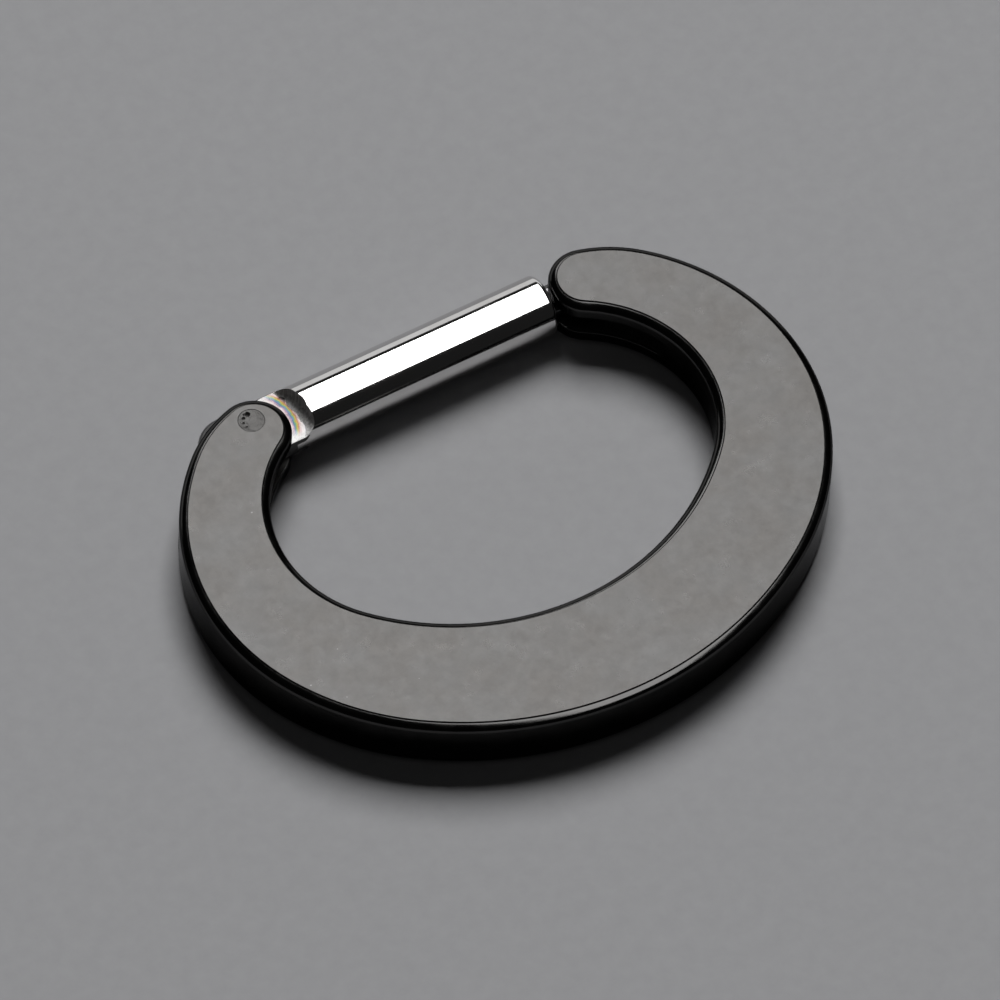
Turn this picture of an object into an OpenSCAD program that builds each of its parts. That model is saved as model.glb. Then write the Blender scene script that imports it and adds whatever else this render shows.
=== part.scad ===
// Hinged clicker ring: a flat D-shaped ring whose straight side is a round
// bar that swings open on a pin and snaps into the other end of the ring.
// Millimetres. +X runs along the closed bar, +Y points from the ring's bow
// to the bar, +Z is up. The origin is at the middle of the underside.

/* [Ring plate] */
// Thickness of the flat ring
plate_t = 1.2; // [1.1:0.05:1.6]
// Size of the closed object across the bar, from bow to tongue
overall_d = 9.29; // [9.1:0.01:9.5]
// Width of the plate at the middle of the bow
bow_w = 2.42; // [2.2:0.02:2.5]

/* [Outer edge arcs, from the bow to a tip] */
// Radius of the bow
bow_r = 7.17; // [7.0:0.01:7.3]
// Radius where the bow turns into the side
cheek_r = 5.38; // [5.2:0.01:5.5]
// Radius of the side
side_r = 4.43; // [4.3:0.01:4.5]
// Radius of the shoulder
shoulder_r = 2.69; // [2.6:0.01:2.8]
// Radius of the rounded tip
tip_r = 0.7; // [0.62:0.01:0.72]

/* [Opening arcs] */
// Radius of the opening along the bow
opening_bow_r = 5.07; // [5.0:0.01:5.2]
// Radius of the opening at its sides
opening_side_r = 2.5; // [2.45:0.01:2.55]

/* [Slots in the two tips] */
// Height of the saw slot in each tip
slot_h = 0.44; // [0.42:0.01:0.5]
// Radius of the saw that cut both slots in one pass
saw_r = 16.75; // [15:0.25:20]
// Lowest point of the saw cut, on the centre line
slot_floor_y = 1.5; // [1.3:0.05:1.6]

/* [Gate bar] */
// Diameter of the round bar
bar_d = 1.2; // [1.0:0.05:1.2]
// Gap between the end of the round bar and the tip beside it
end_gap = 0.06; // [0.06:0.01:0.3]
// Chamfer at the end of the round bar
end_chamfer = 0.15; // [0.05:0.01:0.2]
// Thickness of the flat tongues
tongue_t = 0.4; // [0.3:0.01:0.4]
// Width of the hinge tongue
tongue_w = 1.27; // [1.2:0.01:1.3]
// Distance from the pin to the centre of the tongue's round end
tail_reach = 0.4; // [0.3:0.01:0.5]
// Radius of the relief milled into the bar around the hinge tip
relief_r = 1.14; // [1.1:0.01:1.3]
// Width of the latch tongue
latch_w = 0.64; // [0.6:0.02:0.9]
// Distance from the end of the round bar to the centre of the latch tongue's end
latch_reach = 0.91; // [0.8:0.01:0.95]

/* [Hinge pin and snap] */
// Distance of the pin from the centre line
pin_x = 3.51; // [3.45:0.01:3.55]
// Diameter of the pin
pin_d = 0.5; // [0.4:0.02:0.6]
// Running clearance round the pin, on the radius
pin_clearance = 0.02; // [0.01:0.005:0.04]
// Height of the snap bumps on the latch tongue
bump_h = 0.03; // [0.02:0.005:0.04]
// Radius of a snap bump where it leaves the tongue
bump_r = 0.1; // [0.08:0.01:0.14]
// Clearance round a bump in its dimple
bump_clearance = 0.015; // [0.01:0.005:0.02]

/* [Hidden] */

round_fn = 96;
arc_step = 3;
overcut = 1;

// Directions in which each outer arc ends, measured from +X
bow_end = -55;
cheek_end = -28;
side_end = 48;
shoulder_end = 75;
opening_bow_end = -43;

mid_z = plate_t / 2;
bow_y = -overall_d / 2;
bar_y = overall_d / 2 - tongue_w / 2;

function toward(angle) = [cos(angle), sin(angle)];

// Points of an arc from angle a0 to a1, both ends included
function arc(centre, r, a0, a1) =
    let (steps = ceil(abs(a1 - a0) / arc_step))
    [for (i = [0:steps]) centre + r * toward(a0 + (a1 - a0) * i / steps)];

// Centre of the arc that carries on from another one at the given angle
function next_centre(centre, r, next_r, angle) = centre + (r - next_r) * toward(angle);

bow_c = [0, bow_y + bow_r];
cheek_c = next_centre(bow_c, bow_r, cheek_r, bow_end);
side_c = next_centre(cheek_c, cheek_r, side_r, cheek_end);
shoulder_c = next_centre(side_c, side_r, shoulder_r, side_end);
tip_c = next_centre(shoulder_c, shoulder_r, tip_r, shoulder_end);

opening_bow_c = [0, bow_y + bow_w + opening_bow_r];
opening_side_c = next_centre(opening_bow_c, opening_bow_r, opening_side_r, opening_bow_end);

// The straight neck between the opening and the tip touches both circles; it
// shrinks to nothing where the two circles meet
neck_v = tip_c - opening_side_c;
neck_angle = atan2(neck_v[1], neck_v[0]) - acos(min(1, (opening_side_r + tip_r) / norm(neck_v)));

right_half = concat(
    arc(bow_c, bow_r, -90, bow_end),
    arc(cheek_c, cheek_r, bow_end, cheek_end),
    arc(side_c, side_r, cheek_end, side_end),
    arc(shoulder_c, shoulder_r, side_end, shoulder_end),
    arc(tip_c, tip_r, shoulder_end, neck_angle + 180),
    arc(opening_side_c, opening_side_r, neck_angle, opening_bow_end),
    arc(opening_bow_c, opening_bow_r, opening_bow_end, -90)
);

pin_c = [-pin_x, bar_y];
hinge_tip_c = [-tip_c[0], tip_c[1]];
bar_end_x = tip_c[0] - tip_r - end_gap;
latch_end_x = bar_end_x + latch_reach;
bump_x = tip_c[0];
saw_c = [0, slot_floor_y + saw_r];

// Radius of the ball whose cap is a snap bump
bump_ball_r = (bump_r * bump_r + bump_h * bump_h) / (2 * bump_h);

// Where the hinge tongue starts to narrow, and where it meets the round bar
taper_start_x = hinge_tip_c[0] + relief_r - 0.15;
taper_end_x = taper_start_x + 0.3;

module half_plate() {
    linear_extrude(plate_t)
        polygon(right_half);
}

// The two balls whose caps make the snap, above and below the latch tongue
module snap_balls(extra) {
    for (side = [-1, 1])
        translate([bump_x, bar_y, mid_z + side * (tongue_t / 2 + bump_h - bump_ball_r)])
            sphere(r = bump_ball_r + extra, $fn = round_fn);
}

module ring_frame() {
    color([0.16, 0.16, 0.16])
        difference() {
            union() {
                half_plate();
                mirror([1, 0, 0]) half_plate();
            }
            translate([saw_c[0], saw_c[1], mid_z - slot_h / 2])
                cylinder(r = saw_r, h = slot_h, $fn = 4 * round_fn);
            translate([pin_c[0], pin_c[1], -overcut])
                cylinder(d = pin_d, h = plate_t + 2 * overcut, $fn = round_fn);
            snap_balls(bump_clearance);
        }
}

module round_bar() {
    start_x = hinge_tip_c[0] + tip_r;
    straight = bar_end_x - end_chamfer - start_x;
    translate([start_x, bar_y, mid_z])
        rotate([0, 90, 0]) {
            cylinder(d = bar_d, h = straight, $fn = round_fn);
            translate([0, 0, straight])
                cylinder(d1 = bar_d, d2 = bar_d - 2 * end_chamfer, h = end_chamfer, $fn = round_fn);
        }
}

// Clears the round bar away above and below the hinge tongue
module hinge_relief() {
    for (z = [mid_z + tongue_t / 2, mid_z - tongue_t / 2 - plate_t])
        translate([hinge_tip_c[0], hinge_tip_c[1], z])
            cylinder(r = relief_r, h = plate_t, $fn = round_fn);
}

module hinge_tongue() {
    tail_x = pin_c[0] - tail_reach;
    translate([0, bar_y, mid_z - tongue_t / 2])
        linear_extrude(tongue_t) {
            translate([tail_x, 0])
                circle(d = tongue_w, $fn = round_fn);
            polygon([
                [tail_x, -tongue_w / 2], [taper_start_x, -tongue_w / 2], [taper_end_x, 0],
                [taper_start_x, tongue_w / 2], [tail_x, tongue_w / 2]
            ]);
        }
}

module latch_tongue() {
    root_x = bar_end_x - bar_d / 4;
    translate([0, bar_y, mid_z - tongue_t / 2])
        linear_extrude(tongue_t) {
            translate([latch_end_x, 0])
                circle(d = latch_w, $fn = round_fn);
            translate([root_x, -latch_w / 2])
                square([latch_end_x - root_x, latch_w]);
        }
    intersection() {
        snap_balls(0);
        translate([bump_x, bar_y, mid_z])
            cube([2 * latch_w, latch_w, tongue_t + 2 * bump_h], center = true);
    }
}

module gate_bar() {
    color([0.8, 0.8, 0.81])
        difference() {
            union() {
                difference() {
                    round_bar();
                    hinge_relief();
                }
                hinge_tongue();
                latch_tongue();
            }
            translate([pin_c[0], pin_c[1], -overcut])
                cylinder(r = pin_d / 2 + pin_clearance, h = plate_t + 2 * overcut, $fn = round_fn);
        }
}

module hinge_pin() {
    color([0.13, 0.13, 0.13])
        translate([pin_c[0], pin_c[1], 0])
            cylinder(d = pin_d, h = plate_t, $fn = round_fn);
}

ring_frame();
gate_bar();
hinge_pin();
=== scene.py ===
"""Looks of the hinged clicker ring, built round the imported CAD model.

The three visible pieces (flat ring, gate bar, hinge pin) are rebuilt here with the CAD model's
own sizes, at a finer resolution and with the rounded edges of the real parts. Shapes are made
in millimetres and scaled to metres when they become Blender objects.
"""
import math

import bpy
import numpy as np
from mathutils import Matrix, Vector, geometry, noise
from mathutils.bvhtree import BVHTree


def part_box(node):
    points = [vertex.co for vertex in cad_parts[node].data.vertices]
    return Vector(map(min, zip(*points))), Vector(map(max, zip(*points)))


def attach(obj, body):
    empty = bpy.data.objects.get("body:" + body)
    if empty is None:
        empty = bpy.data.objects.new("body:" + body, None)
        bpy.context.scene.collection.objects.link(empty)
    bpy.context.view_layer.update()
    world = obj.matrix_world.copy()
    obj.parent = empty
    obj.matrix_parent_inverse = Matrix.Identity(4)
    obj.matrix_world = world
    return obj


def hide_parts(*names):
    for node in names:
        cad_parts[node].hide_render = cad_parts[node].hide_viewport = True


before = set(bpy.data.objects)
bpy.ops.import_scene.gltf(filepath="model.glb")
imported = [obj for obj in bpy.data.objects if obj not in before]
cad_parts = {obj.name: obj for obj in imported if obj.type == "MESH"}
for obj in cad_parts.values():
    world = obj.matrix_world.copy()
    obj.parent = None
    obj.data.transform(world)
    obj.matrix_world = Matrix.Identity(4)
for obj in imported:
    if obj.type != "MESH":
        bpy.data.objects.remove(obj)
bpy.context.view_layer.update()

MM = 0.001

# ---- sizes shared with the CAD source, in millimetres ------------------------------------

RING_LOW, RING_HIGH = (np.array(corner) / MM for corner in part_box("ring_frame"))
PIN_LOW, PIN_HIGH = (np.array(corner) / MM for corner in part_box("hinge_pin"))

PLATE_T = RING_HIGH[2]
MID_Z = PLATE_T / 2
BOW_Y = RING_LOW[1]
BOW_W = 2.42
BOW_R = 7.17
CHEEK_R = 5.38
SIDE_R = 4.43
SHOULDER_R = 2.69
TIP_R = 0.70
OPENING_BOW_R = 5.07
OPENING_SIDE_R = 2.5
BOW_END, CHEEK_END, SIDE_END, SHOULDER_END, OPENING_BOW_END = -55, -28, 48, 75, -43

SLOT_H = 0.44
SAW_R = 16.75
SAW_C = np.array([0.0, 1.5 + SAW_R])

PIN_C = (PIN_LOW[:2] + PIN_HIGH[:2]) / 2
PIN_R = (PIN_HIGH[0] - PIN_LOW[0]) / 2
PIN_CLEARANCE = 0.02

BAR_Y = PIN_C[1]
BAR_R = 0.6
END_GAP = 0.06
TONGUE_T = 0.4
TONGUE_W = 1.27
TAIL_REACH = 0.4
RELIEF_R = 1.14
LATCH_W = 0.64
LATCH_REACH = 0.91
BUMP_R, BUMP_H, BUMP_CLEARANCE = 0.1, 0.03, 0.015

# ---- finish sizes: the small roundings that the photograph shows --------------------------

RIM_STEP = 0.024
RIM_STEP_DEG = 45.0
EDGE_ARCS = [(0.215, 8, 31, 4), (0.13, 31, 90, 8)]
SLOT_EDGE_R = 0.035
SLOT_EDGE_FADE = 0.3
HOLE_EDGE_R = 0.006
PIN_EDGE_R = 0.006
BAR_END_R = 0.11
TONGUE_EDGE_R = 0.19
TONGUE_SHARP_R = 0.02
TONGUE_FADE_X = (-3.4, -2.95)
TONGUE_WAIST = 0.935
TONGUE_NOSE_R = 0.3
TONGUE_NOSE_BACK = 0.29
RELIEF_FILLET_R = 0.18
RELIEF_SHARP_R = 0.05
RELIEF_FADE_Y = (4.25, 4.45)
RELIEF_ABOVE_TONGUE = 0.003
RELIEF_TOP_R = 0.01

ARC_CHORD = 0.045
ARC_STEP_DEG = 3.0
FILLET_STEPS = 8
EAR_STEPS = 4


def toward(degrees):
    """Unit vector in the plane at this angle from +X."""
    a = math.radians(degrees)
    return np.array([math.cos(a), math.sin(a)])


def eased(values, span):
    """Share from 0 to 1 of each value's way across the span, with soft ends."""
    share = np.clip((np.array(values) - span[0]) / (span[1] - span[0]), 0, 1)
    return share * share * (3 - 2 * share)


def next_centre(centre, radius, next_radius, degrees):
    """Centre of the arc that carries on smoothly from another one at this angle."""
    return centre + (radius - next_radius) * toward(degrees)


# ---- meshes with exact normals -------------------------------------------------------------


class Shell:
    """A mesh in millimetres whose corners carry the true surface normal."""

    def __init__(self):
        self.index = {}
        self.points = []
        self.faces = []
        self.normals = []
        self.kinds = []

    def vertex(self, point):
        key = tuple(int(round(c * 1e6)) for c in point)
        if key not in self.index:
            self.index[key] = len(self.points)
            self.points.append(tuple(float(c) for c in point))
        return self.index[key]

    def face(self, corners, kind=0):
        """Adds one face from (point, normal) corners, turned so that it faces its normals."""
        ids, normals = [], []
        for point, normal in corners:
            i = self.vertex(point)
            if i not in ids:
                ids.append(i)
                normals.append(normal)
        if len(ids) < 3:
            return
        a, b, c = (np.array(self.points[i]) for i in ids[:3])
        flat = np.cross(b - a, c - a)
        if len(ids) > 3:
            d = np.array(self.points[ids[3]])
            flat = flat + np.cross(c - a, d - a)
        if flat @ np.sum(normals, axis=0) < 0:
            ids.reverse()
            normals.reverse()
        self.faces.append(ids)
        self.normals.append(normals)
        self.kinds.append(kind)

    def strip(self, row_a, row_b, kind=0):
        """Joins two rows of (point, normal) corners of equal length with quads."""
        for i in range(len(row_a) - 1):
            self.face([row_a[i], row_a[i + 1], row_b[i + 1], row_b[i]], kind)

    def flat(self, loops, z, normal_z, kind):
        """Fills a flat outline, the first loop, less the holes that are the other loops."""
        points = [Vector((p[0], p[1], 0.0)) for loop in loops for p in loop]
        groups = []
        start = 0
        for loop in loops:
            groups.append(points[start:start + len(loop)])
            start += len(loop)
        normal = np.array([0.0, 0.0, normal_z])
        flat_points = [p for loop in loops for p in loop]
        for triangle in geometry.tessellate_polygon(groups):
            corners = [(np.array([flat_points[i][0], flat_points[i][1], z]), normal) for i in triangle]
            self.face(corners, kind)

    def fan(self, loop, z, normal_z):
        """Fills a flat outline that can be seen whole from its middle."""
        normal = np.array([0.0, 0.0, normal_z])
        middle = np.mean(loop, axis=0)
        for p, q in zip(loop, loop[1:] + loop[:1]):
            self.face([(np.array([c[0], c[1], z]), normal) for c in (middle, p, q)])

    def mesh(self, name):
        made = bpy.data.meshes.new(name)
        made.from_pydata(self.points, [], self.faces)
        finish_normals(made, [n for face in self.normals for n in face])
        return made


def finish_normals(mesh, corner_normals):
    mesh.polygons.foreach_set("use_smooth", [True] * len(mesh.polygons))
    mesh.update()
    mesh.normals_split_custom_set([tuple(n) for n in corner_normals])
    mesh.update()


def corner(point, height, outward, nr, nz):
    """A corner on an upright profile: point and outward are in the plane, nr and nz turn the normal."""
    normal = np.array([outward[0] * nr, outward[1] * nr, nz])
    return np.array([point[0], point[1], height]), normal


def fillet_rows(radius, z_edge, side, steps=FILLET_STEPS):
    """(inset, z, nr, nz) rows round a convex edge, from the flat face (side +1 up, -1 down) to the wall."""
    rows = []
    for i in range(steps + 1):
        a = math.pi / 2 * i / steps
        inset = radius * (1 - math.sin(a))
        height = z_edge - side * radius * (1 - math.cos(a))
        rows.append((inset, height, math.sin(a), side * math.cos(a)))
    return rows


def ring_edge_rows(z_edge, side):
    """(inset, z, nr, nz) rows over the ring's edge: a hair-fine step at the rim of the face, then a
    rounding made of a wide arc and a tighter one, each given as (radius, tilt, tilt, steps)."""
    step = math.radians(RIM_STEP_DEG)
    inset = RIM_STEP
    for radius, t0, t1, _ in EDGE_ARCS:
        inset += radius * (math.sin(math.radians(t1)) - math.sin(math.radians(t0)))
    height = z_edge
    nr, nz = math.sin(step), side * math.cos(step)
    rows = [(inset, height, nr, nz)]
    inset -= RIM_STEP
    height -= side * RIM_STEP * math.tan(step)
    rows.append((inset, height, nr, nz))
    for radius, t0, t1, steps in EDGE_ARCS:
        for i in range(steps + 1):
            a0, a = math.radians(t0), math.radians(t0 + (t1 - t0) * i / steps)
            here = inset - radius * (math.sin(a) - math.sin(a0))
            low = height - side * radius * (math.cos(a0) - math.cos(a))
            rows.append((max(here, 0.0), low, math.sin(a), side * math.cos(a)))
        inset, height = rows[-1][:2]
    return rows


def arc_columns(centre, radius, a0, a1, hollow=False):
    """(point, outward normal) pairs along an arc; hollow when the material is outside the circle."""
    length = radius * math.radians(abs(a1 - a0))
    steps = max(2, math.ceil(length / ARC_CHORD), math.ceil(abs(a1 - a0) / ARC_STEP_DEG))
    out = []
    for i in range(steps + 1):
        direction = toward(a0 + (a1 - a0) * i / steps)
        out.append((centre + radius * direction, -direction if hollow else direction))
    return out


def joined(*runs):
    """Runs of columns end to end, without the repeated point where two smooth runs meet."""
    out = list(runs[0])
    for run in runs[1:]:
        same = np.linalg.norm(run[0][0] - out[-1][0]) < 1e-9 and run[0][1] @ out[-1][1] > 0.999
        out.extend(run[1:] if same else run)
    return out


def circle_columns(centre, radius, hollow=False, steps=96):
    out = []
    for i in range(steps):
        direction = toward(360.0 * i / steps)
        out.append((centre + radius * direction, -direction if hollow else direction))
    return out


def profile_walls(shell, columns, rows, kind):
    """Sweeps (inset, z, nr, nz) rows along the columns of a closed outline."""
    lines = [
        [corner(p - n * inset, z, n, nr, nz) for inset, z, nr, nz in rows] for p, n in columns
    ]
    for i in range(len(lines)):
        shell.strip(lines[i], lines[(i + 1) % len(lines)], kind)


def inset_loop(columns, inset):
    """The columns' points moved in, by one inset or by one for each, without repeats."""
    out = []
    for (p, n), depth in zip(columns, np.broadcast_to(inset, len(columns))):
        q = p - n * depth
        if not out or np.linalg.norm(q - out[-1]) > 1e-7:
            out.append(q)
    if np.linalg.norm(out[0] - out[-1]) < 1e-7:
        out.pop()
    return out


def rounded_plate(columns, z0, z1, lower, upper):
    """A closed plate from z0 to z1 with rounded edges, their radii one for all columns or one for each."""
    shell = Shell()
    lower, upper = (np.broadcast_to(radii, len(columns)) for radii in (lower, upper))
    lines = []
    for (p, n), low, high in zip(columns, lower, upper):
        rows = fillet_rows(high, z1, 1) + fillet_rows(low, z0, -1)[::-1]
        lines.append([corner(p - n * inset, z, n, nr, nz) for inset, z, nr, nz in rows])
    for i in range(len(lines)):
        shell.strip(lines[i], lines[(i + 1) % len(lines)])
    shell.fan(inset_loop(columns, upper), z1, 1)
    shell.fan(inset_loop(columns, lower), z0, -1)
    return shell


# ---- the flat ring ---------------------------------------------------------------------------

bow_c = np.array([0.0, BOW_Y + BOW_R])
cheek_c = next_centre(bow_c, BOW_R, CHEEK_R, BOW_END)
side_c = next_centre(cheek_c, CHEEK_R, SIDE_R, CHEEK_END)
shoulder_c = next_centre(side_c, SIDE_R, SHOULDER_R, SIDE_END)
tip_c = next_centre(shoulder_c, SHOULDER_R, TIP_R, SHOULDER_END)
opening_bow_c = np.array([0.0, BOW_Y + BOW_W + OPENING_BOW_R])
opening_side_c = next_centre(opening_bow_c, OPENING_BOW_R, OPENING_SIDE_R, OPENING_BOW_END)
neck = tip_c - opening_side_c
NECK_DEG = math.degrees(
    math.atan2(neck[1], neck[0]) - math.acos((OPENING_SIDE_R + TIP_R) / np.linalg.norm(neck))
)
hinge_tip_c = np.array([-tip_c[0], tip_c[1]])
bar_end_x = tip_c[0] - TIP_R - END_GAP


def saw_side(point):
    """Below zero where the saw cut reaches."""
    return np.linalg.norm(point - SAW_C) - SAW_R


def with_saw_crossings(centre, radius, a0, a1, hollow=False):
    """The arc's columns, with one more exactly where the saw circle crosses it."""
    columns = arc_columns(centre, radius, a0, a1, hollow)
    steps = len(columns) - 1
    out = [columns[0]]
    for i in range(steps):
        if saw_side(columns[i][0]) * saw_side(columns[i + 1][0]) < 0:
            low, high = (a0 + (a1 - a0) * k / steps for k in (i, i + 1))
            for _ in range(60):
                middle = (low + high) / 2
                here = centre + radius * toward(middle)
                if saw_side(here) * saw_side(columns[i][0]) > 0:
                    low = middle
                else:
                    high = middle
            direction = toward(low)
            out.append((centre + radius * direction, -direction if hollow else direction))
        out.append(columns[i + 1])
    return out


def ring_outline():
    """The whole outline, anticlockwise, as (point, outward normal) columns."""
    right = joined(
        arc_columns(bow_c, BOW_R, -90, BOW_END),
        arc_columns(cheek_c, CHEEK_R, BOW_END, CHEEK_END),
        with_saw_crossings(side_c, SIDE_R, CHEEK_END, SIDE_END),
        arc_columns(shoulder_c, SHOULDER_R, SIDE_END, SHOULDER_END),
        arc_columns(tip_c, TIP_R, SHOULDER_END, NECK_DEG + 180),
        with_saw_crossings(opening_side_c, OPENING_SIDE_R, NECK_DEG, OPENING_BOW_END, True),
        arc_columns(opening_bow_c, OPENING_BOW_R, OPENING_BOW_END, -90, True),
    )
    flip = np.array([-1.0, 1.0])
    left = [(p * flip, n * flip) for p, n in reversed(right)]
    return right + left[1:-1]


def slot_runs(columns):
    """Index lists of the columns that lie in the two slots, crossings included."""
    inside = [saw_side(p) < 1e-6 for p, _ in columns]
    runs, run = [], []
    for i, hit in enumerate(inside):
        if hit:
            run.append(i)
        elif run:
            runs.append(run)
            run = []
    if run:
        runs.append(run)
    return runs


def slot_edge_radii(columns, runs):
    """Rounding of the slots' edges at each column: full in a tip, nothing where a slot ends."""
    radii = np.zeros(len(columns))
    for run in runs:
        points = np.array([columns[i][0] for i in run])
        along = np.r_[0, np.cumsum(np.linalg.norm(np.diff(points, axis=0), axis=1))]
        radii[run] = SLOT_EDGE_R * eased(np.minimum(along, along[-1] - along), (0, SLOT_EDGE_FADE))
    return radii


def ear_rows(side, radius):
    """Rows of the plate's half above (side +1) or below the slots, from its flat face to the slot."""
    z_face = MID_Z + side * PLATE_T / 2
    z_slot = MID_Z + side * SLOT_H / 2
    rows = ring_edge_rows(z_face, side)
    for i in range(EAR_STEPS + 1):
        b = math.pi / 2 * i / EAR_STEPS
        rows.append((
            radius * (1 - math.cos(b)),
            z_slot + side * radius * (1 - math.sin(b)),
            math.cos(b),
            -side * math.sin(b),
        ))
    return rows


def dimple(shell, side):
    """The hollow that a snap bump sits in, in the slot's face; returns its rim."""
    ball = (BUMP_R * BUMP_R + BUMP_H * BUMP_H) / (2 * BUMP_H)
    reach = TONGUE_T / 2 + BUMP_H - ball
    ball_r = ball + BUMP_CLEARANCE
    rim_angle = math.acos((SLOT_H / 2 - reach) / ball_r)
    centre = np.array([tip_c[0], BAR_Y])
    ball_c = np.array([centre[0], centre[1], MID_Z + side * reach])
    steps, sectors = 5, 32
    rings = []
    for i in range(steps + 1):
        a = rim_angle * (1 - i / steps)
        ring = []
        for j in range(sectors + 1):
            flat = toward(360.0 * (j % sectors) / sectors)
            out = np.array([flat[0] * math.sin(a), flat[1] * math.sin(a), side * math.cos(a)])
            ring.append((ball_c + ball_r * out, -out))
        rings.append(ring)
    for a, b in zip(rings, rings[1:]):
        shell.strip(a, b, SHADED_RECESS)
    return [point[:2] for point, _ in rings[0][:-1]]


# The ring's three materials: edges and walls, slots and pin hole, flat faces; the first two are darker
# copies of the face's coating, painted shade
COAT, SHADED_RECESS, FLAT = 0, 1, 2


def build_ring():
    shell = Shell()
    columns = ring_outline()
    runs = slot_runs(columns)
    radii = slot_edge_radii(columns, runs)
    add_ring_walls(shell, columns, runs, radii)
    for side in (1, -1):
        add_ring_faces(shell, columns, runs, radii, side)
    for run in runs:
        add_slot_end(shell, columns[run[-1]][0], columns[run[0]][0])
    return shell


def add_ring_walls(shell, columns, runs, radii):
    """The outline's walls: both halves of the plate's edge, and the middle where there is no slot."""
    count = len(columns)
    in_slot = {(i, i + 1) for run in runs for i in run[:-1]}
    lines = {}
    for side in (1, -1):
        lines[side] = [
            [corner(p - n * inset, z, n, nr, nz) for inset, z, nr, nz in ear_rows(side, radii[i])]
            for i, (p, n) in enumerate(columns)
        ]
    for i in range(count):
        j = (i + 1) % count
        for side in (1, -1):
            shell.strip(lines[side][i], lines[side][j], COAT)
        if (i, j) not in in_slot:
            top_to_foot = [
                [corner(p, MID_Z + z * SLOT_H / 2, n, 1, 0) for z in (1, -1)]
                for p, n in (columns[i], columns[j])
            ]
            shell.strip(*top_to_foot, COAT)


def add_ring_faces(shell, columns, runs, radii, side):
    """One flat face, its half of the pin hole, and the slots' faces on that side."""
    z_face = MID_Z + side * PLATE_T / 2
    z_slot = MID_Z + side * SLOT_H / 2
    hole = circle_columns(PIN_C, PIN_R, hollow=True)
    rows = fillet_rows(HOLE_EDGE_R, z_face, side, 4) + [(0, z_slot, 1, 0)]
    profile_walls(shell, hole, rows, SHADED_RECESS)
    outer = inset_loop(columns, ring_edge_rows(z_face, side)[0][0])
    shell.flat([outer, inset_loop(hole, HOLE_EDGE_R)], z_face, side, FLAT)
    for run in runs:
        edge = [columns[i][0] - columns[i][1] * radii[i] for i in run]
        saw = saw_arc(edge[-1], edge[0])
        at_hinge = edge[len(edge) // 2][0] < 0
        gap = inset_loop(hole, 0) if at_hinge else dimple(shell, side)
        shell.flat([edge + saw[1:-1], gap], z_slot, -side, SHADED_RECESS)


def add_slot_end(shell, start, end):
    """The curved end that the saw leaves in a slot."""
    saw = saw_arc(start, end)
    for a, b in zip(saw, saw[1:]):
        quad = []
        for p, z in ((a, 1), (b, 1), (b, -1), (a, -1)):
            quad.append(corner(p, MID_Z + z * SLOT_H / 2, (SAW_C - p) / SAW_R, 1, 0))
        shell.face(quad, SHADED_RECESS)


def saw_arc(start, end, steps=24):
    """Points along the saw's path between two of its crossings."""
    a0, a1 = (math.degrees(math.atan2(*(p - SAW_C)[::-1])) for p in (start, end))
    middle = [SAW_C + SAW_R * toward(a0 + (a1 - a0) * i / steps) for i in range(1, steps)]
    return [start] + middle + [end]


# ---- the gate bar ----------------------------------------------------------------------------


def revolved(profile, steps=192):
    """A solid of revolution about the bar's axis from (x, radius, nx, nr) rows."""
    shell = Shell()
    lines = []
    for i in range(steps):
        y, z = toward(360.0 * i / steps)
        lines.append([
            (np.array([x, BAR_Y + r * y, MID_Z + r * z]), np.array([nx, nr * y, nr * z]))
            for x, r, nx, nr in profile
        ])
    for i in range(steps):
        shell.strip(lines[i], lines[(i + 1) % steps])
    return shell


def bar_shell():
    start = hinge_tip_c[0] + TIP_R
    flat_r = BAR_R - BAR_END_R
    profile = [(start, 0.0, -1, 0), (start, BAR_R, -1, 0), (start, BAR_R, 0, 1)]
    for x in np.linspace(start, bar_end_x - BAR_END_R, 24)[1:]:
        profile.append((x, BAR_R, 0, 1))
    for i in range(1, 11):
        a = math.pi / 2 * i / 10
        profile.append((
            bar_end_x - BAR_END_R * (1 - math.sin(a)),
            flat_r + BAR_END_R * math.cos(a),
            math.sin(a),
            math.cos(a),
        ))
    profile.append((bar_end_x, 0.0, 1, 0))
    return revolved(profile)


def split_long_sides(columns, longest=0.06):
    """The same closed outline with more columns along its straight sides."""
    out = []
    for (p, n), (q, m) in zip(columns, columns[1:] + columns[:1]):
        steps = max(1, math.ceil(np.linalg.norm(q - p) / longest)) if n @ m > 0.999 else 1
        out.extend((p + (q - p) * i / steps, n) for i in range(steps))
    return out


def hinge_tongue_shell():
    """The flat tongue on the pin: a round tail, and a blunt front inside the round bar."""
    half = TONGUE_W / 2
    tail = np.array([PIN_C[0] - TAIL_REACH, BAR_Y])
    front_x = hinge_tip_c[0] + RELIEF_R - TONGUE_NOSE_BACK
    upper = np.array([front_x, BAR_Y + half - TONGUE_NOSE_R])
    lower = np.array([front_x, BAR_Y - half + TONGUE_NOSE_R])
    columns = joined(
        arc_columns(lower, TONGUE_NOSE_R, -90, 0),
        arc_columns(upper, TONGUE_NOSE_R, 0, 90),
        arc_columns(tail, half, 90, 270),
    )
    columns = split_long_sides(columns)
    share = eased([p[0] for p, _ in columns], TONGUE_FADE_X)
    radii = TONGUE_EDGE_R + (TONGUE_SHARP_R - TONGUE_EDGE_R) * share
    widths = 1 + (TONGUE_WAIST - 1) * share
    columns = [(np.array([p[0], BAR_Y + (p[1] - BAR_Y) * w]), n) for (p, n), w in zip(columns, widths)]
    z0, z1 = MID_Z - TONGUE_T / 2, MID_Z + TONGUE_T / 2
    return rounded_plate(columns, z0, z1, radii, radii)


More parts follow.
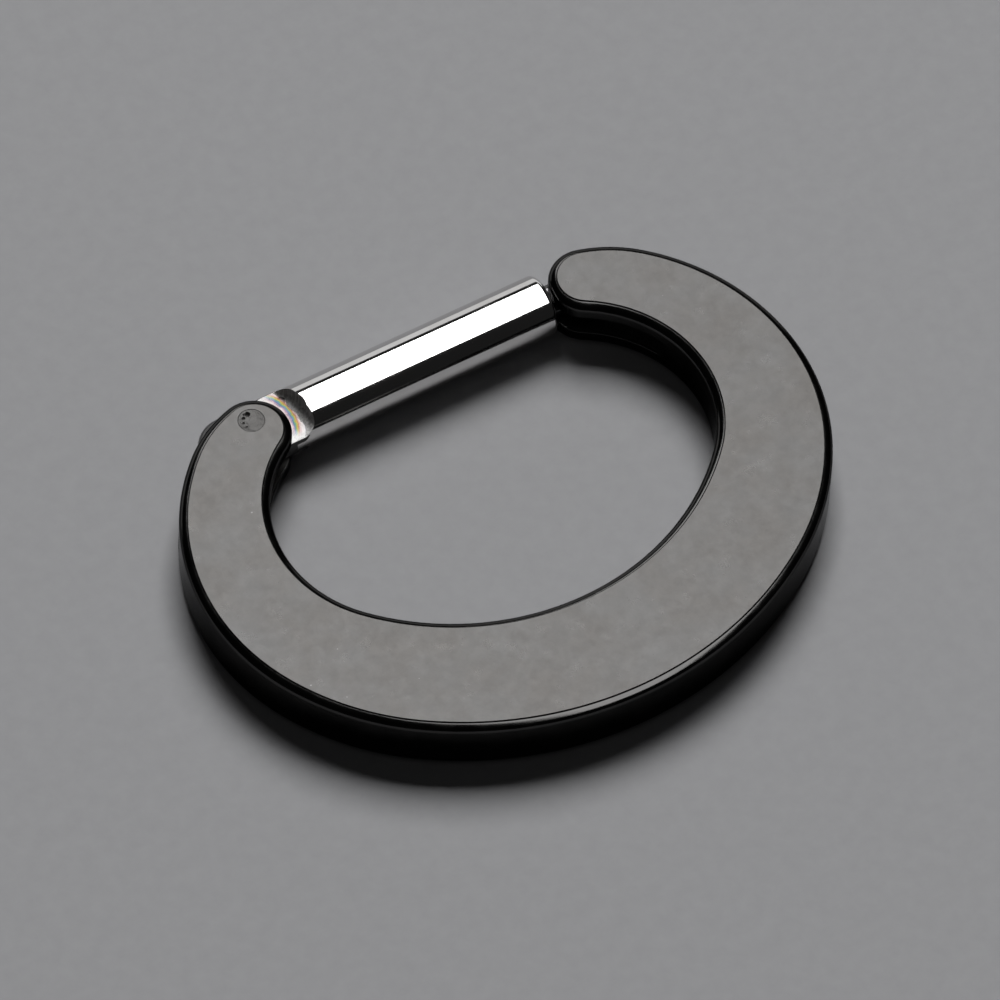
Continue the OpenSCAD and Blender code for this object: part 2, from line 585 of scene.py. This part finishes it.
def latch_tongue_shell():
    half = LATCH_W / 2
    end = np.array([bar_end_x + LATCH_REACH, BAR_Y])
    root = np.array([bar_end_x - BAR_R / 2, BAR_Y])
    columns = joined(
        arc_columns(end, half, -90, 90),
        arc_columns(root, half, 90, 270),
    )
    z0, z1 = MID_Z - TONGUE_T / 2, MID_Z + TONGUE_T / 2
    return rounded_plate(columns, z0, z1, TONGUE_EDGE_R, TONGUE_EDGE_R)


def snap_bump_shell():
    """A round-ended peg through the latch tongue whose two ends are the snap bumps."""
    ball = (BUMP_R * BUMP_R + BUMP_H * BUMP_H) / (2 * BUMP_H)
    reach = TONGUE_T / 2 + BUMP_H - ball
    shell = Shell()
    centre = np.array([tip_c[0], BAR_Y])
    sectors, steps = 48, 8
    rim_angle = math.acos((TONGUE_T / 2 - 0.01 - reach) / ball)
    profile = []
    for side in (1, -1):
        rows = []
        for i in range(steps + 1):
            a = rim_angle * i / steps
            rows.append((ball * math.sin(a), MID_Z + side * (reach + ball * math.cos(a)),
                         math.sin(a), side * math.cos(a)))
        profile += rows if side == 1 else rows[::-1]
    lines = []
    for j in range(sectors):
        flat = toward(360.0 * j / sectors)
        lines.append([corner(centre + flat * r, z, flat, nr, nz) for r, z, nr, nz in profile])
    for j in range(sectors):
        shell.strip(lines[j], lines[(j + 1) % sectors])
    return shell


# The milling cutter's stops round the hinge tip: angle, and how much deeper it went than the rest
RELIEF_STOPS = [
    (-78, 0.0), (-54, 0.01), (-33, 0.0), (-11, 0.015), (9, 0.0), (27, 0.012), (45, 0.0), (62, 0.0),
    (80, 0.01),
    (108, 0.0), (138, 0.0), (168, 0.0), (198, 0.0), (228, 0.0), (256, 0.0),
]
RELIEF_CUTTER_R = 0.42


def scallop(degrees, at, deeper):
    """Point and outward normal, at this angle from the hinge tip, of the cut made at one stop."""
    d = RELIEF_R + deeper - RELIEF_CUTTER_R
    off = math.radians(degrees - at)
    inside = RELIEF_CUTTER_R ** 2 - (d * math.sin(off)) ** 2
    if inside <= 0 or math.cos(off) <= 0:
        return 0.0, None, None
    r = d * math.cos(off) + math.sqrt(inside)
    p = hinge_tip_c + r * toward(degrees)
    n = (p - hinge_tip_c - d * toward(at)) / RELIEF_CUTTER_R
    return r, p, n


def relief_columns():
    """Outline of the relief: a circle round the hinge tip, scalloped by the milling cutter."""
    columns = []
    previous = None
    for i in range(721):
        degrees = -90 + i * 0.5
        stop = max(RELIEF_STOPS, key=lambda s: scallop(degrees, *s)[0])
        if previous is not None and stop != previous:
            low, high = degrees - 0.5, degrees
            for _ in range(40):
                middle = (low + high) / 2
                nearer = scallop(middle, *previous)[0] > scallop(middle, *stop)[0]
                low, high = (middle, high) if nearer else (low, middle)
            columns.append(scallop(low, *previous)[1:])
            columns.append(scallop(low, *stop)[1:])
        if i < 720:
            columns.append(scallop(degrees, *stop)[1:])
        previous = stop
    return columns


def relief_shell(side):
    """One relief cutter: its foot is rounded, but less on the side that the ring nears when open."""
    columns = relief_columns()
    fade = eased([p[1] for p, _ in columns], RELIEF_FADE_Y)
    foot = RELIEF_FILLET_R + (RELIEF_SHARP_R - RELIEF_FILLET_R) * fade
    near = MID_Z + side * (TONGUE_T / 2 + RELIEF_ABOVE_TONGUE)
    far = MID_Z + side * PLATE_T
    if side > 0:
        return rounded_plate(columns, near, far, foot, RELIEF_TOP_R)
    return rounded_plate(columns, far, near, RELIEF_TOP_R, foot)


def bore_shell():
    columns = circle_columns(PIN_C, PIN_R + PIN_CLEARANCE, steps=96)
    return rounded_plate(columns, -1.0, PLATE_T + 1.0, 0.05, 0.05)


# The bar's materials: polished, the milled floors, the cutter's walls, the tongues' sides; the floors and
# the tongues' sides are darker copies of the steel, painted shade, and the cutter's walls a paler one,
# painted light
STEEL, MILLED, CUT, SIDE = 0, 1, 2, 3
# Faces of the cuts and tongues this close to level count as milled floors
FLOOR_NZ = 0.985
# When two shells are equally near a face, one that doesn't face its way counts as this much farther
TURNED_AWAY = 0.002


def build_gate():
    """The gate bar by boolean steps on exact shells; corners then take the shells' own normals."""
    parts = [
        (bar_shell(), None, STEEL),
        (relief_shell(1), "DIFFERENCE", CUT),
        (relief_shell(-1), "DIFFERENCE", CUT),
        (hinge_tongue_shell(), "UNION", SIDE),
        (latch_tongue_shell(), "UNION", SIDE),
        (snap_bump_shell(), "UNION", STEEL),
        (bore_shell(), "DIFFERENCE", SIDE),
    ]
    objects = []
    for i, (shell, _, _) in enumerate(parts):
        obj = bpy.data.objects.new(f"operand_{i}", shell.mesh(f"operand_{i}"))
        bpy.context.scene.collection.objects.link(obj)
        objects.append(obj)
    for obj, (_, step, _) in zip(objects, parts):
        if step:
            modifier = objects[0].modifiers.new(step, "BOOLEAN")
            modifier.operation = step
            modifier.solver = "EXACT"
            modifier.object = obj
    bpy.context.view_layer.update()
    graph = bpy.context.evaluated_depsgraph_get()
    result = bpy.data.meshes.new_from_object(objects[0].evaluated_get(graph))
    for obj in objects:
        bpy.data.objects.remove(obj)
    return result, [(shell, kind) for shell, _, kind in parts]


class NormalSource:
    """Looks up the exact normal of a shell's surface at a point."""

    def __init__(self, shell):
        triangles, normals = [], []
        for ids, corner_normals in zip(shell.faces, shell.normals):
            for k in range(1, len(ids) - 1):
                triangles.append((ids[0], ids[k], ids[k + 1]))
                normals.append((corner_normals[0], corner_normals[k], corner_normals[k + 1]))
        self.points = np.array(shell.points)
        self.triangles = triangles
        self.normals = normals
        self.tree = BVHTree.FromPolygons(shell.points, triangles)

    def nearest(self, point):
        place, _, index, distance = self.tree.find_nearest(point)
        if place is None:
            return 1e9, None
        a, b, c = (self.points[i] for i in self.triangles[index])
        weights = barycentric(np.array(place), a, b, c)
        normal = sum(w * np.array(n) for w, n in zip(weights, self.normals[index]))
        return distance, normal / max(np.linalg.norm(normal), 1e-12)


def barycentric(p, a, b, c):
    u, v, w = b - a, c - a, p - a
    uu, uv, vv, wu, wv = u @ u, u @ v, v @ v, w @ u, w @ v
    det = uu * vv - uv * uv
    if abs(det) < 1e-24:
        return 1.0, 0.0, 0.0
    s = min(max((vv * wu - uv * wv) / det, 0), 1)
    t = min(max((uu * wv - uv * wu) / det, 0), 1)
    return 1 - s - t, s, t


def restore_normals(mesh, sources):
    """Gives each corner of a boolean result the normal of the shell that its face came from."""
    lookups = [(NormalSource(shell), kind) for shell, kind in sources]
    normals = []
    kinds = []
    for polygon in mesh.polygons:
        centre = polygon.center
        best, best_distance = None, 1e9
        for lookup, kind in lookups:
            distance, normal = lookup.nearest(centre)
            facing = normal @ np.array(polygon.normal) if normal is not None else 0
            if abs(facing) < 0.9:
                distance += TURNED_AWAY
            if distance < best_distance - 1e-7:
                best, best_distance = (lookup, kind), distance
        lookup, kind = best
        kinds.append(MILLED if kind in (CUT, SIDE) and abs(polygon.normal.z) > FLOOR_NZ else kind)
        for vertex_index in polygon.vertices:
            point = mesh.vertices[vertex_index].co
            _, normal = lookup.nearest(point.lerp(centre, 0.02))
            if normal @ np.array(polygon.normal) < 0:
                normal = -normal
            normals.append(normal)
    finish_normals(mesh, normals)
    return kinds


# ---- the hinge pin ------------------------------------------------------------------------------

# Pits in the pin's end: offset from the pin's centre, radius and depth
PIN_PITS = [
    ((0.008, 0.160), 0.038, 0.05),
    ((-0.100, 0.118), 0.024, 0.04),
    ((-0.152, 0.020), 0.018, 0.02),
    ((-0.140, -0.080), 0.016, 0.018),
    ((-0.050, 0.178), 0.020, 0.02),
]
PIN_DISH = 0.012
PIN_ROUGH = 0.006
PIN_SHY = 0.0005


def pin_height(offset):
    """How far the pin's end lies below its full height at an offset from its centre."""
    r = math.hypot(*offset)
    low = PIN_DISH * (1 - (r / PIN_R) ** 2)
    low += PIN_ROUGH * (0.5 + 0.5 * noise.noise(Vector((offset[0] * 14, offset[1] * 14, 3.7))))
    low += 0.5 * PIN_ROUGH * (0.5 + 0.5 * noise.noise(Vector((offset[0] * 41, offset[1] * 41, 8.1))))
    for at, radius, depth in PIN_PITS:
        d = math.hypot(offset[0] - at[0], offset[1] - at[1]) / radius
        if d < 1.4:
            low += depth * max(0.0, 1 - (d / 1.4) ** 2) ** 1.5
    return low


def build_pin():
    shell = Shell()
    sectors, steps = 96, 22
    wall_r = PIN_R - PIN_SHY
    flat_r = wall_r - PIN_EDGE_R
    for side in (1, -1):
        z_face = MID_Z + side * PLATE_T / 2
        lines = []
        for j in range(sectors + 1):
            flat = toward(360.0 * (j % sectors) / sectors)
            line = []
            for i in range(steps + 1):
                offset = flat * flat_r * i / steps
                height = z_face - side * pin_height(offset)
                line.append((np.array([PIN_C[0] + offset[0], PIN_C[1] + offset[1], height]), None))
            lines.append(line)
        for j in range(sectors):
            for i in range(steps):
                quad = [lines[j][i], lines[j][i + 1], lines[j + 1][i + 1], lines[j + 1][i]]
                shell.face([(p, pin_normal(p, side)) for p, _ in quad])
        for j in range(sectors):
            rows = []
            for line, jj in ((lines[j], j), (lines[j + 1], (j + 1) % sectors)):
                flat = toward(360.0 * jj / sectors)
                top = line[-1][0]
                row = [(top, pin_normal(top, side))]
                for k in range(1, 5):
                    a = math.pi / 2 * k / 4
                    r = flat_r + PIN_EDGE_R * math.sin(a)
                    z = top[2] - side * PIN_EDGE_R * (1 - math.cos(a))
                    row.append(corner(PIN_C + flat * r, z, flat, math.sin(a), side * math.cos(a)))
                row.append(corner(PIN_C + flat * wall_r, MID_Z, flat, 1, 0))
                rows.append(row)
            shell.strip(rows[0], rows[1])
    return shell


def pin_normal(point, side):
    """Normal of the pin's dished end by small differences."""
    step = 0.002
    x, y = point[0] - PIN_C[0], point[1] - PIN_C[1]
    dx = (pin_height((x + step, y)) - pin_height((x - step, y))) / (2 * step)
    dy = (pin_height((x, y + step)) - pin_height((x, y - step))) / (2 * step)
    normal = np.array([dx, dy, 1.0])
    normal[2] *= side
    return normal / np.linalg.norm(normal)


# ---- materials -------------------------------------------------------------------------------------


class Nodes:
    """Short names for building a node material."""

    def __init__(self, name):
        self.material = bpy.data.materials.new(name)
        self.material.use_nodes = True
        self.tree = self.material.node_tree
        self.shader = self.tree.nodes["Principled BSDF"]
        self.place = self.tree.nodes.new("ShaderNodeTexCoord").outputs["Object"]

    def add(self, kind, **inputs):
        node = self.tree.nodes.new(kind)
        self.feed(node, **inputs)
        return node

    def feed(self, node, **inputs):
        for key, value in inputs.items():
            numbered = key[0] == "_" and key[1:].isdigit()
            socket = node.inputs[int(key[1:]) if numbered else key.replace("_", " ")]
            if isinstance(value, bpy.types.NodeSocket):
                self.tree.links.new(value, socket)
            else:
                socket.default_value = value

    def math(self, operation, a, b=0.0, clamp=False):
        node = self.add("ShaderNodeMath", _0=a, _1=b)
        node.operation = operation
        node.use_clamp = clamp
        return node.outputs[0]

    def noise(self, scale, detail=2.0, rough=0.5, place=None):
        node = self.add("ShaderNodeTexNoise", Scale=scale, Detail=detail, Roughness=rough,
                        Vector=place or self.place)
        return node.outputs["Fac"]

    def spread(self, value, low, high, out_low, out_high):
        node = self.add("ShaderNodeMapRange", Value=value)
        for index, number in ((1, low), (2, high), (3, out_low), (4, out_high)):
            node.inputs[index].default_value = number
        return node.outputs[0]

    def mix(self, factor, a, b):
        node = self.tree.nodes.new("ShaderNodeMix")
        node.data_type = "RGBA"
        for index, value in ((0, factor), (6, a), (7, b)):
            if isinstance(value, bpy.types.NodeSocket):
                self.tree.links.new(value, node.inputs[index])
            else:
                node.inputs[index].default_value = value
        return node.outputs[2]

    def bump(self, height, distance, strength=1.0, after=None):
        node = self.add("ShaderNodeBump", Height=height, Distance=distance, Strength=strength)
        if after is not None:
            self.tree.links.new(after, node.inputs["Normal"])
        return node.outputs["Normal"]

    def stretched(self, sx, sy, sz):
        node = self.add("ShaderNodeMapping", Vector=self.place, Scale=(sx, sy, sz))
        return node.outputs["Vector"]


def grey(value, warm=1.0):
    return (value * warm, value, value / warm, 1.0)


PER_MM = 1 / MM


def coating(name, level, ior, roughness, mottle):
    """Black coating on steel: satin, with soft mottling, fine grain and a few worn specks."""
    n = Nodes(name)
    cloud = n.noise(0.9 * PER_MM, 4.0, 0.6)
    patch = n.noise(2.6 * PER_MM, 3.0, 0.6)
    grain = n.noise(24 * PER_MM, 2.0, 0.6)
    cloudy = n.spread(cloud, 0.3, 0.7, -mottle, mottle)
    patchy = n.spread(patch, 0.3, 0.7, -mottle, mottle)
    share = n.math("ADD", n.math("ADD", cloudy, patchy), 0.5, clamp=True)
    colour = n.mix(share, grey(level * 0.55, 1.03), grey(level * 1.45, 1.05))
    specks = n.spread(n.noise(11 * PER_MM, 0.0), 0.89, 0.91, 0.0, 0.5)
    colour = n.mix(specks, colour, grey(0.3))
    rough = n.math(
        "ADD",
        n.spread(patch, 0.3, 0.7, roughness - 0.03, roughness + 0.03),
        n.spread(grain, 0.3, 0.7, -0.01, 0.01),
    )
    blotch = n.spread(n.noise(5.5 * PER_MM, 4.0, 0.7), 0.35, 0.65, 0, 1)
    warm = n.mix(blotch, grey(0.80, 1.04), grey(0.96, 1.04))
    cool = n.mix(blotch, grey(0.84, 1.01), grey(0.99, 1.01))
    sheen = n.mix(n.spread(cloud, 0.35, 0.65, 0, 1), warm, cool)
    relief = n.bump(grain, 0.0004 * MM, 0.08)
    relief = n.bump(patch, 0.004 * MM, 0.2, relief)
    n.feed(n.shader, Base_Color=colour, Roughness=rough, Normal=relief, Metallic=0.0, IOR=ior)
    n.feed(n.shader, Specular_Tint=sheen)
    return n.material


def shaded_edge_coating(name, level, tint, roughness):
    """The coating where it runs over the edges and walls: a darker copy of the face's coating, darker still
    at a glance, painted shade standing in for the dark floor that the walls mirror, with fine grain.
    """
    n = Nodes(name)
    cloud = n.noise(2.2 * PER_MM, 4.0, 0.6)
    grain = n.noise(38 * PER_MM, 2.0, 0.6)
    colour = n.mix(n.spread(cloud, 0.3, 0.7, 0, 1), grey(level * 0.88, 1.01), grey(level * 1.1, 1.02))
    rough = n.spread(cloud, 0.3, 0.7, roughness - 0.04, roughness + 0.05)
    relief = n.bump(grain, 0.0012 * MM, 0.5)
    n.feed(n.shader, Base_Color=colour, Roughness=rough, Normal=relief, Metallic=1.0)
    n.feed(n.shader, Specular_Tint=(tint, tint, tint, 1.0))
    return n.material


def steel(name, level, roughness):
    """Polished steel, with faint polishing lines round the bar."""
    n = Nodes(name)
    lines = n.noise(1.0, 3.0, 0.65, n.stretched(60 * PER_MM, 2 * PER_MM, 2 * PER_MM))
    smear = n.noise(1.4 * PER_MM, 3.0, 0.5)
    colour = n.mix(n.spread(smear, 0.35, 0.65, 0, 1), grey(level, 1.01), grey(level * 0.93, 1.02))
    rough = n.math(
        "ADD",
        n.spread(smear, 0.3, 0.7, roughness - 0.02, roughness + 0.03),
        n.spread(lines, 0.3, 0.7, -0.02, 0.02),
    )
    relief = n.bump(lines, 0.0006 * MM, 0.5)
    n.feed(n.shader, Base_Color=colour, Roughness=rough, Normal=relief, Metallic=1.0)
    return n.material


# Painted rainbow: the colours that the turning marks break the light into, painted as base colour, from the
# pin outwards: pale, violet, blue, green, gold, pale
SPECTRUM = [
    (0.00, (0.196, 0.180, 0.172)), (0.20, (0.196, 0.165, 0.160)), (0.30, (0.118, 0.082, 0.105)),
    (0.39, (0.040, 0.066, 0.110)), (0.46, (0.045, 0.095, 0.066)), (0.53, (0.140, 0.120, 0.024)),
    (0.60, (0.146, 0.074, 0.040)), (0.69, (0.170, 0.124, 0.124)), (0.80, (0.200, 0.185, 0.180)),
    (1.00, (0.200, 0.195, 0.200)),
]
SPECTRUM_RADII = (0.70, 1.02)
TURNING_MARKS_PER_MM = 55.0


def milled_steel_painted_rainbow(name, level, roughness):
    """Milled steel: fine turning marks round the hinge as bumps, and the colours that they break the light
    into painted into the base colour, in one sector round the pin.
    """
    n = Nodes(name)
    shift = n.add("ShaderNodeVectorMath", _0=n.place)
    shift.operation = "SUBTRACT"
    shift.inputs[1].default_value = (PIN_C[0] * MM, PIN_C[1] * MM, 0)
    apart = n.add("ShaderNodeSeparateXYZ", _0=shift.outputs[0])
    x, y = apart.outputs[0], apart.outputs[1]
    square = n.math("ADD", n.math("MULTIPLY", x, x), n.math("MULTIPLY", y, y))
    radius = n.math("MULTIPLY", n.math("SQRT", square), PER_MM)
    angle = n.math("ARCTAN2", y, x)
    ripple = n.noise(9 * PER_MM, 3.0, 0.6)
    wobble = n.math("ADD", radius, n.spread(ripple, 0.3, 0.7, -0.02, 0.02))
    ramp = n.tree.nodes.new("ShaderNodeValToRGB")
    n.tree.links.new(n.spread(wobble, *SPECTRUM_RADII, 0.0, 1.0), ramp.inputs[0])
    while len(ramp.color_ramp.elements) < len(SPECTRUM):
        ramp.color_ramp.elements.new(0.5)
    for element, (at, colour) in zip(ramp.color_ramp.elements, SPECTRUM):
        element.position = at
        element.color = (*colour, 1.0)
    # The painted rainbow shows only in this sector of angles round the pin
    span = n.math("MULTIPLY", n.spread(angle, -0.62, -0.4, 0, 1), n.spread(angle, 0.5, 0.85, 1, 0))
    colour = n.mix(span, grey(level, 1.01), ramp.outputs[0])
    marks = n.add("ShaderNodeTexNoise", Scale=1.0, Detail=2.0, Roughness=0.6)
    marks.noise_dimensions = "1D"
    n.tree.links.new(n.math("MULTIPLY", radius, TURNING_MARKS_PER_MM), marks.inputs["W"])
    rough = n.spread(ripple, 0.3, 0.7, roughness - 0.05, roughness + 0.08)
    relief = n.bump(marks.outputs["Fac"], 0.002 * MM, 0.7)
    relief = n.bump(ripple, 0.01 * MM, 0.3, relief)
    n.feed(n.shader, Base_Color=colour, Roughness=rough, Normal=relief, Metallic=1.0)
    return n.material


def cut_steel_painted_light(name, level, roughness):
    """The steep wall left by the milling cutter: rough, with upright pale and dark streaks; its pale,
    partly diffuse base is painted light, so that the wall looks light grey though it faces away from the
    lamps.
    """
    n = Nodes(name)
    streaks = n.noise(1.0, 2.0, 0.6, n.stretched(26 * PER_MM, 26 * PER_MM, 2 * PER_MM))
    cloud = n.noise(7 * PER_MM, 2.0, 0.5)
    share = n.math("ADD", n.spread(streaks, 0.35, 0.65, 0, 0.7), n.spread(cloud, 0.3, 0.7, 0, 0.3))
    colour = n.mix(share, grey(level * 0.5, 1.01), grey(level, 1.01))
    rough = n.spread(cloud, 0.3, 0.7, roughness - 0.06, roughness + 0.06)
    relief = n.bump(streaks, 0.006 * MM, 0.8)
    n.feed(n.shader, Base_Color=colour, Roughness=rough, Normal=relief, Metallic=0.3)
    return n.material


# ---- pieces ------------------------------------------------------------------------------------------


def piece(name, mesh, materials, kinds, body, node):
    """Makes the mesh a visible piece; kinds says which of the materials each face has."""
    mesh.transform(Matrix.Scale(MM, 4))
    mesh.name = name
    mesh.materials.clear()
    for material in materials:
        mesh.materials.append(material)
    mesh.polygons.foreach_set("material_index", kinds)
    obj = bpy.data.objects.new(name, mesh)
    bpy.context.scene.collection.objects.link(obj)
    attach(obj, body)
    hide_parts(node)
    return obj


coat_face = coating("black_coating_face", 0.022, 1.66, 0.30, 0.4)
# Edges and walls: a darker copy of the black coating, painted shade
coat_edge = shaded_edge_coating("black_coating_edge_painted_shade", 0.05, 0.45, 0.15)
# Slots and pin hole: a darker copy of the black coating, painted shade in the recesses
coat_slot = coating("black_coating_slot_painted_shade", 0.008, 1.45, 0.35, 0.25)
pin_coat = coating("black_pin_end", 0.022, 1.61, 0.34, 0.5)
steel_bar = steel("polished_bar", 0.72, 0.07)
# Milled floors: a darker copy of the bar's steel, painted shade, with the painted rainbow
steel_milled = milled_steel_painted_rainbow("milled_steel_painted_rainbow", 0.2, 0.18)
# Cutter's walls: a paler, partly diffuse copy of the steel, painted light
steel_cut = cut_steel_painted_light("cut_steel_painted_light", 0.95, 0.85)
# Tongues' sides: a darker copy of the polished steel, painted shade
steel_shaded_side = steel("tongue_side_painted_shade", 0.12, 0.12)

ring_shell = build_ring()
ring_coats = [coat_edge, coat_slot, coat_face]
piece("flat_ring", ring_shell.mesh("flat_ring"), ring_coats, ring_shell.kinds,
      "frame", "ring_frame")

gate_mesh, gate_sources = build_gate()
gate_kinds = restore_normals(gate_mesh, gate_sources)
gate_steels = [steel_bar, steel_milled, steel_cut, steel_shaded_side]
piece("swing_bar", gate_mesh, gate_steels, gate_kinds, "gate", "gate_bar")

pin_shell = build_pin()
piece("pin", pin_shell.mesh("pin"), [pin_coat], pin_shell.kinds, "frame", "hinge_pin")


# ---- floor, light and camera ---------------------------------------------------------------------------

CAMERA_AZIMUTH = math.radians(-32.54)
CAMERA_ELEVATION = math.radians(56.55)
CAMERA_ROLL = math.radians(3.2)
CAMERA_DISTANCE = 0.26433
CAMERA_TARGET = (-0.348, 0.265, 1.2)
CAMERA_HALF_VIEW = math.radians(2)
SENSOR_WIDTH = 36

SOFTBOX_HEIGHT = 0.6
KEY_ELEVATION = math.radians(52)
KEY_DISTANCE = 0.7


def build_floor():
    """A plain pale floor, large enough for every view, in one grid."""
    half = 1.5
    steps = 8
    points = [
        (half * (2 * i / steps - 1), half * (2 * j / steps - 1), 0.0)
        for i in range(steps + 1) for j in range(steps + 1)
    ]
    row = steps + 1
    faces = [
        (i * row + j, (i + 1) * row + j, (i + 1) * row + j + 1, i * row + j + 1)
        for i in range(steps) for j in range(steps)
    ]
    mesh = bpy.data.meshes.new("floor")
    mesh.from_pydata(points, [], faces)
    floor = bpy.data.objects.new("floor", mesh)
    bpy.context.scene.collection.objects.link(floor)
    n = Nodes("pale_floor")
    speck = n.noise(3 * PER_MM, 3.0, 0.6)
    colour = n.mix(n.spread(speck, 0.3, 0.7, 0, 1), (0.36, 0.36, 0.37, 1), (0.38, 0.38, 0.39, 1))
    n.feed(n.shader, Base_Color=colour, Roughness=0.9, Specular_IOR_Level=0.0)
    mesh.materials.append(n.material)


def area_light(name, place, aim, width, height, radiance, reflected=True):
    """A soft rectangular light of a given surface brightness, seen in reflections or lighting the floor."""
    data = bpy.data.lights.new(name, "AREA")
    data.shape = "RECTANGLE"
    data.size, data.size_y = width, height
    data.energy = radiance * math.pi * width * height
    obj = bpy.data.objects.new(name, data)
    bpy.context.scene.collection.objects.link(obj)
    obj.location = place
    obj.rotation_mode = "QUATERNION"
    obj.rotation_quaternion = (Vector(aim) - Vector(place)).to_track_quat("-Z", "Y")
    obj.visible_camera = False
    obj.visible_glossy = reflected
    obj.visible_diffuse = not reflected
    return obj


def build_lights():
    """One long softbox overhead and a dim card behind for the reflections; a key for the floor."""
    h = SOFTBOX_HEIGHT
    area_light("softbox", (0.3 * h, 0.3 * h, h), (0.3 * h, 0.3 * h, 0), 0.42 * h, 1.9 * h, 4.9)
    area_light("back_card", (0.2, 0.8, 0.18), (0, 0, 0.18), 1.6, 0.36, 0.7)
    away = Vector((-math.sin(CAMERA_AZIMUTH), math.cos(CAMERA_AZIMUTH), 0))
    up = Vector((0, 0, 1))
    key = (away * math.cos(KEY_ELEVATION) + up * math.sin(KEY_ELEVATION)) * KEY_DISTANCE
    area_light("key", key, (0, 0, 0), 0.36, 0.36, 11.8, False)
    area_light("fill", (-0.3, -0.2, 0.8), (0, 0, 0), 0.8, 0.8, 0.04, False)
    world = bpy.data.worlds.new("studio")
    world.use_nodes = True
    background = world.node_tree.nodes["Background"]
    background.inputs["Color"].default_value = (0.012, 0.012, 0.012, 1)
    background.inputs["Strength"].default_value = 1.0
    bpy.context.scene.world = world


def build_camera():
    """The photograph's view: from the front left, well above, with a long lens."""
    data = bpy.data.cameras.new("camera")
    data.sensor_width = SENSOR_WIDTH
    data.lens = SENSOR_WIDTH / 2 / math.tan(CAMERA_HALF_VIEW)
    data.dof.use_dof = False
    data.clip_start, data.clip_end = 0.02, 10
    camera = bpy.data.objects.new("camera", data)
    bpy.context.scene.collection.objects.link(camera)
    a, e = CAMERA_AZIMUTH, CAMERA_ELEVATION
    back = Vector((math.sin(a) * math.cos(e), -math.cos(a) * math.cos(e), math.sin(e)))
    camera.location = Vector(CAMERA_TARGET) * MM + back * CAMERA_DISTANCE
    camera.rotation_mode = "QUATERNION"
    turn = (-back).to_track_quat("-Z", "Y")
    camera.rotation_quaternion = turn @ Matrix.Rotation(CAMERA_ROLL, 4, "Z").to_quaternion()
    bpy.context.scene.camera = camera


build_floor()
build_lights()
build_camera()
bpy.context.scene.view_settings.view_transform = "Standard"
